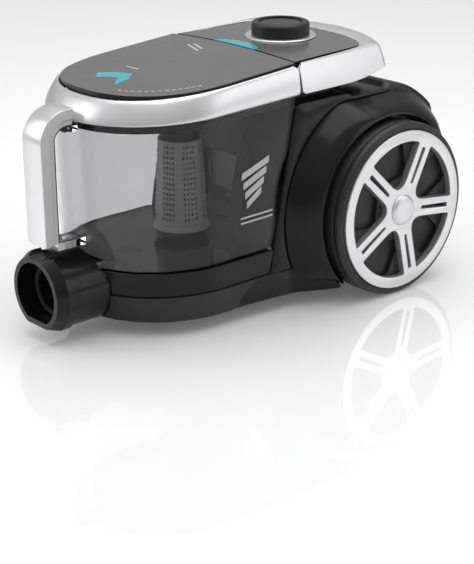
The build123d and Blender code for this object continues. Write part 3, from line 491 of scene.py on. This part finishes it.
def body_reach(angle, floor):
    """Distance from the wheel's axis to the housing's outline, in side view."""
    c, s = math.cos(angle), math.sin(angle)
    found = []
    if s > 1e-6:
        y = wheel_y + (shelf_z - wheel_z) * c / s
        dip = min(max((y - 90) / 8, 0.0), 1.0) * min(max((156 - y) / 6, 0.0), 1.0)
        found.append((shelf_z - dip_depth * dip * dip * (3 - 2 * dip) - wheel_z) / s)
    if s < -1e-6:
        found.append((wheel_z - floor) / -s)
    if c > 1e-6:
        found.append((rear_y - wheel_y) / c)
        if s > 0:
            found.append(shoulder_radius)
    if front_lean * s - c > 1e-6:
        found.append((wheel_y - front_at_floor - front_lean * wheel_z) / (front_lean * s - c))
    return soft_least(found)


def fairing_reach(angle, floor):
    """Distance from the wheel's axis to the groove round the fairing."""
    c, s = math.cos(angle), math.sin(angle)
    found = [fairing_radius, body_reach(angle, floor) - 2.5]
    if s > 1e-6:
        found.append((fairing_top - wheel_z) / s)
    return max(soft_least(found, 2.2), lip)


def housing_section(angle):
    """Half section of the housing along one ray from the wheel's axis: (radius, X) pairs."""
    fender = fender_from <= angle <= fender_to
    floor = fender_low if fender else split_z
    reach = body_reach(angle, floor)
    groove = fairing_reach(angle, floor) if fender else min(lip, reach)
    fade = min(max((math.degrees(angle) - 72) / 8, 0.0), 1.0)
    line = [(0.0, well_x), (60.0, well_x), (91.6, well_x), (92.2, 102.0), (92.2, 121.6), (92.5, 123.2)]
    shape = ((0, 124.0), (0.10, 123.6), (0.22, 122.2), (0.44, 117.6), (0.62, 111.8), (0.80, 104.8),
             (0.92, 100.2), (1.0, 98.4))
    line += [(lip + share * (groove - lip), x) for share, x in shape]
    line += [(groove + 0.7, 98.4 - 2.6 * fade), (groove + 1.7, body_x)]
    rounding = min(max(reach - groove - 2.2, 0.6), 5.0)
    line += [(reach - rounding, body_x), (reach - 0.3 * rounding, body_x - 0.3 * rounding),
             (reach, body_x - rounding), (reach, 60.0), (reach, 30.0), (reach, 0.0)]
    if not fender:
        line = [(radius, min(x, body_x if radius > 90 else well_x)) for radius, x in line]
    return [(min(radius, reach), x) for radius, x in line]


def box_cutter(points, faces, corner, opposite):
    """Adds a closed box between two corners to a list of points and faces."""
    start = len(points)
    for x in (corner[0], opposite[0]):
        for y in (corner[1], opposite[1]):
            for z in (corner[2], opposite[2]):
                points.append((x, y, z))
    for quad in ((0, 1, 3, 2), (4, 6, 7, 5), (0, 4, 5, 1), (2, 3, 7, 6), (0, 2, 6, 4), (1, 5, 7, 3)):
        faces.append(tuple(start + index for index in quad))


def round_cutter(points, faces, centre, radius, reach, along="Y", count=40):
    """Adds a closed cylinder that runs from its centre along X or Y."""
    rings = []
    for depth in (0, reach):
        ring = []
        for k in range(count):
            a, b = radius * math.cos(2 * math.pi * k / count), radius * math.sin(2 * math.pi * k / count)
            x, y, z = centre
            ring.append((x + depth, y + a, z + b) if along == "X" else (x + a, y + depth, z + b))
        rings.append(ring)
    add_prism(points, faces, *rings)


def cut_away(piece, points, faces):
    """Takes closed solids away from a piece for good."""
    mesh = bpy.data.meshes.new("cutter")
    mesh.from_pydata([tuple(MM * part for part in point) for point in points], [], faces)
    work = bmesh.new()
    work.from_mesh(mesh)
    bmesh.ops.recalc_face_normals(work, faces=work.faces)
    work.to_mesh(mesh)
    work.free()
    tool = bpy.data.objects.new("cutter", mesh)
    scene.collection.objects.link(tool)
    cut = piece.modifiers.new("cut", "BOOLEAN")
    cut.operation = "DIFFERENCE"
    cut.solver = "EXACT"
    cut.object = tool
    bpy.context.view_layer.update()
    made = bpy.data.meshes.new_from_object(piece.evaluated_get(bpy.context.evaluated_depsgraph_get()))
    piece.modifiers.clear()
    piece.data = made
    bpy.data.objects.remove(tool)


def make_top_panel():
    """Dark crowned panel behind the seam, with a notch for the button and a hole for the knob's spindle."""
    front = low("top_panel").y
    curve = tail_curve([(87.5, front, 0, 0), (79.2, 128, 0, 16), (58, 139.5, 0, 30), (0, 143.5, 0, 0)], 8)
    flat = [(p.x, p.y) for p in curve]
    rows = crown_rows(flat, lambda y: 243.4, panel_crown, 32)
    points, faces = slab(rows, 6.0)
    piece = make_piece("top_panel_skin", points, faces, "panel_grey", "chassis", ["top_panel"], smooth=False)
    notch_half, notch_y, notch_deep = 30.4, 33.0, 12.4
    hole_radius, hole_y = 9, 93
    below, above = 225, 260
    notch = [(-notch_half, front - 2), (notch_half, front - 2), (notch_half, notch_y)]
    for k in range(1, 30):
        angle = math.radians(6 * k)
        notch.append((notch_half * math.cos(angle), notch_y + notch_deep * math.sin(angle)))
    notch.append((-notch_half, notch_y))
    hole = [(hole_radius * math.cos(math.radians(angle)), hole_y + hole_radius * math.sin(math.radians(angle)))
            for angle in range(0, 360, 10)]
    solids, sides = [], []
    for outline in (notch, hole):
        add_prism(solids, sides, [(x, y, below) for x, y in outline], [(x, y, above) for x, y in outline])
    cut_away(piece, solids, sides)
    paint(piece.data, "panel_grey", "gloss_black", is_wall)
    smooth_up_to(piece.data, 32)


def make_rear_housing():
    """Black rear housing: fairings round the wheels, shelf under the handle, round back."""
    step = 0.002
    turns = [math.radians(2.5 * k) for k in range(144)]
    turns += [fender_from, fender_from - step, fender_to, fender_to + step]
    turns = sorted(set(turns))
    points, faces = [], []
    for side in (1, -1):
        start = len(points)
        sections = [housing_section(angle) for angle in turns]
        size = len(sections[0])
        for angle, line in zip(turns, sections):
            for radius, x in line:
                points.append((side * x, wheel_y + radius * math.cos(angle),
                               wheel_z + radius * math.sin(angle)))
        for k in range(len(turns)):
            after = (k + 1) % len(turns)
            for i in range(size - 1):
                faces.append((start + k * size + i, start + k * size + i + 1, start + after * size + i + 1,
                              start + after * size + i))
    piece = make_piece("rear_housing_skin", points, faces, "gloss_black", "chassis", ["rear_housing"],
                       smooth=False)
    wall = 3.0
    rings = []
    for x in (body_x - wall, wall - body_x):
        ring = []
        for angle in turns:
            radius = body_reach(angle, split_z) - wall
            ring.append((x, wheel_y + radius * math.cos(angle), wheel_z + radius * math.sin(angle)))
        rings.append(ring)
    solids, sides = [], []
    add_prism(solids, sides, *rings)
    cut_away(piece, solids, sides)
    solids, sides = [], []
    past = 0.2                # keeps the cut clear of faces in the same plane
    box_cutter(solids, sides, (-body_x - past, -40, 10), (body_x + past, 217, split_z + past))
    box_cutter(solids, sides, (-60, 148, 186), (60, 174, 215))
    box_cutter(solids, sides, (-60, 43, 196), (60, 133, 215))
    box_cutter(solids, sides, (-46.5, 207, 83.5), (46.5, 225, 152.5))
    box_cutter(solids, sides, (-35, -12, 93), (35, 46, 157))
    for x in (30.0, -30.0):
        round_cutter(solids, sides, (x, 207, 58), 8.6 if x < 0 else 9.0, 15)
    for x in (88.0, -88.0):
        round_cutter(solids, sides, (x, wheel_y, wheel_z), 6.2, math.copysign(20, x), "X")
    cut_away(piece, solids, sides)
    smooth_up_to(piece.data, 32)
    points, faces = [], []
    for corner, opposite in (((-63, 145.2, 183), (63, 176.8, 185.9)),
                             ((-63, 145.2, 185.9), (63, 147.9, 199.6)),
                             ((-63, 174.1, 185.9), (63, 176.8, 195)),
                             ((-63, 148, 185.9), (-60.1, 174, 197)),
                             ((60.1, 148, 185.9), (63, 174, 197))):
        box_cutter(points, faces, corner, opposite)
    make_piece("recess_cup", points, faces, "matte_black", "chassis", smooth=False)


make_rear_housing()
make_top_panel()


# ---------------------------------------------------------------- lower shell's flanks

def flowing(points, count):
    """A smooth line through points, the ends included, with count steps from one to the next."""
    line = []
    spots = [Vector(points[0])] + [Vector(point) for point in points] + [Vector(points[-1])]
    for a, b, c, d in zip(spots, spots[1:], spots[2:], spots[3:]):
        for k in range(count):
            t = k / count
            line.append(0.5 * ((2 * b) + (c - a) * t + (2 * a - 5 * b + 4 * c - d) * t ** 2
                               + (3 * b - a - 3 * c + d) * t ** 3))
    return line + [Vector(points[-1])]


def make_flanks():
    """Flanks of the lower shell, which flare out into the wheel fairings."""
    ground = low("base_housing").z + 0.15
    below = flowing([(84, -70), (90.5, -50), (94.5, -24), (97.5, 4), (101, 22), (109, 38), (117, 54),
                     (120, 66), (108, 70), (98, 73)], 12)
    above = flowing([(90, -70), (95, -50), (97.4, -24), (98, 4), (98.6, 18), (105, 27), (112, 36),
                     (114, 48), (106, 54), (98, 60)], 12)
    tall = split_z - 0.7 - ground
    levels = [(6.0, 0.3), (2.4, 0.0), (0.9, 0.5), (0.0, 2.4), (0.0, 9.0), (0.0, 18.0), (0.0, tall - 1.0),
              (0.8, tall), (3.4, tall)]
    for side, word in ((1, "left"), (-1, "right")):
        rows = []
        for inset, lift in levels:
            share = lift / tall
            line = [a.lerp(b, share) for a, b in zip(below, above)]
            row = []
            for k, point in enumerate(line):
                ahead = line[min(k + 1, len(line) - 1)] - line[max(k - 1, 0)]
                normal = Vector((ahead.y, -ahead.x)).normalized()
                row.append((side * (point.x - inset * normal.x), point.y - inset * normal.y, ground + lift))
            rows.append(row)
        points, faces = skin(rows)
        make_piece("base_flank_" + word, points, faces, "gloss_black", "chassis")


make_flanks()


# ---------------------------------------------------------------- wheels

def round_corners(corners, count=8):
    """Closed outline with each corner replaced by a curve of its own reach."""
    line = []
    size = len(corners)
    for k, (x, y, reach) in enumerate(corners):
        here = Vector((x, y))
        before, after = Vector(corners[k - 1][:2]), Vector(corners[(k + 1) % size][:2])
        if not reach:
            line.append(here)
            continue
        start, stop = here + reach * (before - here).normalized(), here + reach * (after - here).normalized()
        for step in range(count + 1):
            share = step / count
            line.append(start.lerp(here, share).lerp(here.lerp(stop, share), share))
    return line


def rim_windows():
    """Outlines of the five windows and five slots in the rim's face."""
    spokes, first = 5, math.radians(65)
    half, ring_inner = 8.3, 70.2
    outlines = []
    for spoke in range(spokes):
        angle = first + 2 * math.pi * spoke / spokes
        middle = angle + math.pi / spokes
        inner = half / math.sin(math.pi / spokes)
        turn = math.asin(half / ring_inner)
        edge = [(inner * math.cos(middle), inner * math.sin(middle), 19)]
        reach = 2 * math.pi / spokes - 2 * turn
        for k in range(15):
            here = angle + turn + reach * k / 14
            corner = 3.2 if k in (0, 14) else 0
            edge.append((ring_inner * math.cos(here), ring_inner * math.sin(here), corner))
        outlines.append(round_corners(edge))
        along, across = (math.cos(angle), math.sin(angle)), (-math.sin(angle), math.cos(angle))
        slot_line = []
        for a, b in ((27, -2.1), (66, -2.9), (66, 2.9), (27, 2.1)):
            slot_line.append((a * along[0] + b * across[0], a * along[1] + b * across[1], 2.0))
        outlines.append(round_corners(slot_line, 4))
    return outlines


def turned(line, side, count=96):
    """A profile of (radius, distance from the middle plane) turned about the wheels' axis."""
    return lathe([(radius, side * along) for radius, along in line], (0, wheel_y, wheel_z), count=count)


def rim_face(side):
    """Points and faces of the rim's openwork face, which is dished towards the hub."""
    plate_x, half_thick, edge = 139.0, 4.0, 0.6
    radius, dished, depth = 79.9, 70, 2.2
    curve = bpy.data.curves.new("rim", "CURVE")
    curve.dimensions = "2D"
    curve.fill_mode = "BOTH"
    curve.extrude = (half_thick - edge) * MM
    curve.bevel_depth = edge * MM
    curve.bevel_resolution = 2
    circle = [Vector((radius * math.cos(math.radians(angle)), radius * math.sin(math.radians(angle))))
              for angle in range(0, 360, 3)]
    for outline in [circle] + rim_windows():
        spline = curve.splines.new("POLY")
        spline.points.add(len(outline) - 1)
        for spot, point in zip(spline.points, outline):
            spot.co = (point.x * MM, point.y * MM, 0, 1)
        spline.use_cyclic_u = True
    holder = bpy.data.objects.new("rim_curve", curve)
    scene.collection.objects.link(holder)
    bpy.context.view_layer.update()
    mesh = bpy.data.meshes.new_from_object(holder.evaluated_get(bpy.context.evaluated_depsgraph_get()))
    bpy.data.objects.remove(holder)
    points = []
    for vertex in mesh.vertices:
        y, z, out = vertex.co / MM
        inward = depth * max(0.0, 1 - math.hypot(y, z) / dished) ** 1.2
        points.append((side * (plate_x + out - inward), wheel_y + y, wheel_z + z))
    return points, [tuple(polygon.vertices) for polygon in mesh.polygons]


def make_rim(side, word):
    """Silver five-spoke rim with double bars, its barrel and hub, and a domed hub cap."""
    points, faces = rim_face(side)
    barrel = [(80.3, 114), (80.3, 137), (77.0, 137), (77.0, 114), (80.3, 114)]
    hub = [(15.5, 114), (15.5, 136), (6.1, 136), (6.1, 114), (15.5, 114)]
    for line, count in ((barrel, 96), (hub, 48)):
        more, sides = turned(line, side, count)
        start = len(points)
        points += more
        faces += [tuple(start + index for index in quad) for quad in sides]
    piece = make_piece(f"rim_{word}_skin", points, faces, "silver", f"wheel_{word}", [f"rim_{word}"],
                       smooth=False)
    smooth_up_to(piece.data, 35)
    cap = [(0.0, 145.6), (6, 145.4), (11, 144.9), (14, 144.0), (15.4, 142.8), (15.8, 141.4), (15.8, 138.5),
           (0.0, 138.5)]
    points, faces = turned(cap, side, 64)
    make_piece(f"hub_cap_{word}_skin", points, faces, "silver", f"wheel_{word}", [f"hub_cap_{word}"])


def make_tyre(side, word):
    """Soft tyre with rounded shoulders, a lip against the rim and two fine grooves in its tread."""
    inner, outer, tread, bead = 112.0, 141.0, 88.0, 80.7
    inner_round, outer_round, groove_in = 4, 5, 9.5
    line = [(bead, inner + 1), (81.5, inner), (84.0, inner + 0.1)]
    for degrees in range(15, 105, 15):
        angle = math.radians(degrees)
        line.append((tread - inner_round * (1 - math.sin(angle)), inner + inner_round * (1 - math.cos(angle))))
    for groove in (inner + groove_in, outer - groove_in):
        line += [(tread, groove - 0.9), (87.2, groove - 0.6), (87.2, groove + 0.6), (tread, groove + 0.9)]
    for degrees in range(0, 105, 15):
        angle = math.radians(degrees)
        line.append((tread - outer_round * (1 - math.cos(angle)), outer - outer_round * (1 - math.sin(angle))))
    line += [(82.4, outer + 0.1), (81.6, outer - 0.5), (bead, outer - 0.9), (bead, inner + 1)]
    points, faces = turned(line, side, 128)
    make_piece(f"tyre_{word}_skin", points, faces, "tyre", f"wheel_{word}", [f"tyre_{word}"])


for side, word in ((1, "left"), (-1, "right")):
    make_rim(side, word)
    make_tyre(side, word)


# ---------------------------------------------------------------- container handle

def handle_layer(name, depth, half, crown, slots, replaced):
    """One layer of the upright handle, swept up and over its bend, between two depths behind its front."""
    front, bend_z, bend = low("container_handle").y, 191.0, 30.0
    sheets = []
    for back in depth:
        radius = bend - back
        line = [(front + back, 95.6 + (bend_z - 95.6) * k / 8) for k in range(9)]
        for k in range(1, 17):
            angle = math.pi / 2 * k / 16
            line.append((front + bend - radius * math.cos(angle), bend_z + radius * math.sin(angle)))
        line.append((-174.6, bend_z + radius))
        sheets.append(line)
    rows = []
    for share in (-1, -0.9, -0.6, -0.3, 0, 0.3, 0.6, 0.9, 1):
        lift = crown * (1 - share ** 2)
        row = []
        for k, (y, z) in enumerate(sheets[0]):
            bent = min(max(k - 8, 0), 16) / 16 * math.pi / 2
            row.append((half * share, y - lift * math.cos(bent) + crown, z + lift * math.sin(bent) - crown))
        rows.append(row)
    for share in (1, -1):
        rows.append([(half * share, y, z) for y, z in sheets[1]])
    points, faces = skin(rows)
    return make_piece(name, points, faces, slots[0], "container", replaced, edge=0.9, second=slots[-1],
                      picked=lambda face: abs(face.normal.x) > 0.9)


# The side faces of the handle's front layer, picked because they face sideways, take the light grey look,
# darker than its silver front.
handle_layer("container_handle_skin", (0.0, 10.9), 15.0, 0.9, ("silver", "light_grey"),
             ["container_handle"])
handle_layer("container_grip_skin", (11.0, 15.9), 13.6, 0.0, ("light_grey",),
             ["container_handle_grip"])
handle_layer("container_strip_skin", (16.0, 17.9), 12.0, 0.0, ("rubber",),
             ["container_handle_strip"])


# ---------------------------------------------------------------- cyclone screen

def make_screen():
    """Tapering screen with groups of small square holes between plain ribs."""
    bottom, top = low("cyclone_screen").z, high("cyclone_screen").z
    axis_y = (low("cyclone_screen").y + high("cyclone_screen").y) / 2
    base, crest, thick = 26.0, 21.6, 1.4
    groups, columns, rows_up = 7, 4, 15
    hole_low, hole_high = bottom + 4, top - 3
    sector = 2 * math.pi / groups
    cell = sector * 0.17
    stops = []
    for group in range(groups):
        start = group * sector
        stops.append((start, start + sector - columns * cell, False))
        for column in range(columns):
            here = start + sector - (columns - column) * cell
            stops.append((here, here + cell, True))
    pitch = (hole_high - hole_low) / rows_up
    levels = [(bottom, hole_low, False)]
    levels += [(hole_low + pitch * k, hole_low + pitch * (k + 1), True) for k in range(rows_up)]
    levels.append((hole_high, top, False))
    points, faces = [], []

    def spot(angle, z, depth):
        radius = base + (crest - base) * (z - bottom) / (top - bottom) - depth
        points.append((radius * math.cos(angle), axis_y + radius * math.sin(angle), z))
        return len(points) - 1

    for a0, a1, holed in stops:
        for z0, z1, open_row in levels:
            corners = [(a0, z0), (a1, z0), (a1, z1), (a0, z1)]
            if not (holed and open_row):
                pieces = 3 if not holed else 1
                for k in range(pieces):
                    b0, b1 = a0 + (a1 - a0) * k / pieces, a0 + (a1 - a0) * (k + 1) / pieces
                    for depth, order in ((0, 1), (thick, -1)):
                        ring = [spot(b, z, depth) for b, z in ((b0, z0), (b1, z0), (b1, z1), (b0, z1))]
                        faces.append(tuple(ring[::order]))
                continue
            am, zm = (a0 + a1) / 2, (z0 + z1) / 2
            inner = [(am + 0.28 * (a - am) * 2, zm + 0.26 * (z - zm) * 2) for a, z in corners]
            rings = {}
            for depth in (0, thick):
                rings[depth] = ([spot(a, z, depth) for a, z in corners],
                                [spot(a, z, depth) for a, z in inner])
                outer_ring, inner_ring = rings[depth]
                for k in range(4):
                    quad = (outer_ring[k], outer_ring[(k + 1) % 4], inner_ring[(k + 1) % 4], inner_ring[k])
                    faces.append(quad if depth == 0 else quad[::-1])
            for k in range(4):
                faces.append((rings[0][1][k], rings[0][1][(k + 1) % 4], rings[thick][1][(k + 1) % 4],
                              rings[thick][1][k]))
    count = 96
    for z, order in ((bottom, 1), (top, -1)):
        ring = []
        for k in range(count):
            angle = 2 * math.pi * k / count
            ring.append((spot(angle, z, 0), spot(angle, z, thick)))
        for k in range(count):
            quad = (ring[k][0], ring[k][1], ring[(k + 1) % count][1], ring[(k + 1) % count][0])
            faces.append(quad[::order])
    make_piece("cyclone_screen_skin", points, faces, "light_grey", "lid", ["cyclone_screen"], smooth=False)


make_screen()


# ---------------------------------------------------------------- generic marks

def plate_mark(name, outlines, place, slot_name, body, thick=0.25):
    """Thin raised plates from 2-D outlines; place turns (u, v, height) into a point."""
    points, faces = [], []
    for outline in outlines:
        add_prism(points, faces, [place(u, v, thick) for u, v in outline],
                  [place(u, v, 0.0) for u, v in outline])
    make_piece(name, points, faces, slot_name, body, smooth=False)


def on_tank_side(u, v, height):
    """A point on the container's left wall: u along Y, v up."""
    share = (v - 64) / (216 - 64)
    return (93 + 2.5 * share + 0.05 + height, u, v)


def on_lid_panel(u, v, height):
    """A point on the crowned lid panel: u along X, v along Y."""
    return (u, v, lid_panel_edge(v) + panel_crown * (1 - (u / lid_panel_half) ** 2) + height)


bars = []
for step in range(4):
    left, right, foot = -43 + 2.2 * step, -9 - 3.2 * step, 143 - 9.6 * step
    bars.append([(left, foot), (right, foot + 12), (right, foot + 18.5), (left, foot + 6.5)])
lines = [[(-44, z), (-4, z + 0.6), (-4, z + 2.4), (-44, z + 1.8)] for z in (104.5, 99.5)]
plate_mark("container_mark", bars + lines, on_tank_side, "mark_grey", "container")
chevron = [(-30, -113), (-14, -101), (2, -97), (12, -108), (18, -130), (9, -121), (1, -113), (-9, -116),
           (-18, -124)]
plate_mark("lid_mark_teal", [chevron], on_lid_panel, "teal", "lid")
dashes = [[(-38, 2), (-10, -8), (-9, -6), (-37, 4)], [(-34, 7), (-12, -1), (-11, 1), (-33, 9)],
          [(-24, -84), (-6, -84), (-6, -82), (-24, -82)]]
for step in range(13):
    angle = math.radians(-64 + 4.4 * step)
    middle_x, middle_y = 79 * math.cos(angle), -62 + 82 * math.sin(angle)
    along = (-math.sin(angle), math.cos(angle))
    across = (math.cos(angle), math.sin(angle))
    dash = []
    for a, b in ((-2.0, -0.8), (2.0, -0.8), (2.0, 0.8), (-2.0, 0.8)):
        dash.append((middle_x + a * along[0] + b * across[0], middle_y + a * along[1] + b * across[1]))
    dashes.append(dash)
plate_mark("lid_mark_pale", dashes, on_lid_panel, "mark_grey", "lid")


# ---------------------------------------------------------------- studio

def make_floor():
    """Plain pale glossy floor."""
    mesh = bpy.data.meshes.new("floor")
    reach = 14.0
    corners = [(-reach, -reach, 0), (reach, -reach, 0), (reach, reach, 0), (-reach, reach, 0)]
    mesh.from_pydata(corners, [], [(0, 1, 2, 3)])
    floor = bpy.data.objects.new("floor", mesh)
    scene.collection.objects.link(floor)
    look = finish("floor_look", (0.84, 0.84, 0.845), (0.86, 0.86, 0.865), (0.02, 0.04), 40, 0.01, 0.00001,
                  patch=2, IOR=2.0, Emission_Color=(1, 1, 1, 1), Emission_Strength=0.09)
    mesh.materials.append(look)


def add_light(name, place, aim, size, power):
    """A rectangular soft light at a place, turned to a point."""
    data = bpy.data.lights.new(name, "AREA")
    data.shape = "RECTANGLE"
    data.size, data.size_y = size
    data.energy = power
    lamp = bpy.data.objects.new(name, data)
    scene.collection.objects.link(lamp)
    lamp.location = place
    lamp.rotation_euler = (Vector(aim) - Vector(place)).to_track_quat("-Z", "Y").to_euler()
    return lamp


def make_world():
    """White studio: the camera sees white, and the object gets a dimmer room, brighter overhead."""
    world = bpy.data.worlds.new("studio")
    scene.world = world
    world.use_nodes = True
    tree = world.node_tree
    shown = tree.nodes["Background"]
    shown.inputs["Color"].default_value = (1, 1, 1, 1)
    room = tree.nodes.new("ShaderNodeBackground")
    coords = tree.nodes.new("ShaderNodeTexCoord")
    parts = tree.nodes.new("ShaderNodeSeparateXYZ")
    tree.links.new(coords.outputs["Generated"], parts.inputs["Vector"])
    glow = span(tree, parts.outputs["Z"], 0.42, 1.0, 0.0, 1.0)
    tree.links.new(glow, room.inputs["Strength"])
    ray = tree.nodes.new("ShaderNodeLightPath")
    mix = tree.nodes.new("ShaderNodeMixShader")
    tree.links.new(ray.outputs["Is Camera Ray"], mix.inputs["Fac"])
    tree.links.new(room.outputs["Background"], mix.inputs[1])
    tree.links.new(shown.outputs["Background"], mix.inputs[2])
    tree.links.new(mix.outputs["Shader"], tree.nodes["World Output"].inputs["Surface"])


def make_camera():
    """Camera with a long lens, level, to the front left of the machine and a little above it."""
    target = Vector((0.0, 0.0857, -0.0271))
    place = Vector((1.1432, -0.9616, 0.5746))
    data = bpy.data.cameras.new("camera")
    data.lens = 99.5
    data.sensor_width = 36
    data.shift_x = -0.0676
    data.shift_y = 0.0144
    data.clip_end = 100
    camera = bpy.data.objects.new("camera", data)
    scene.collection.objects.link(camera)
    camera.location = place
    camera.rotation_euler = (target - place).to_track_quat("-Z", "Y").to_euler()
    scene.camera = camera


make_floor()
make_world()
make_camera()
middle = (0, 0, 0.12)
add_light("overhead", (0.0, 0.3, 2.2), middle, (2.8, 2.4), 38)
add_light("left_front", (-1.7, -1.7, 1.1), middle, (1.3, 1.7), 15)
add_light("right_rear", (2.1, 1.7, 0.9), middle, (1.6, 1.5), 10)
scene.view_settings.view_transform = "Standard"
scene.view_settings.look = "None"
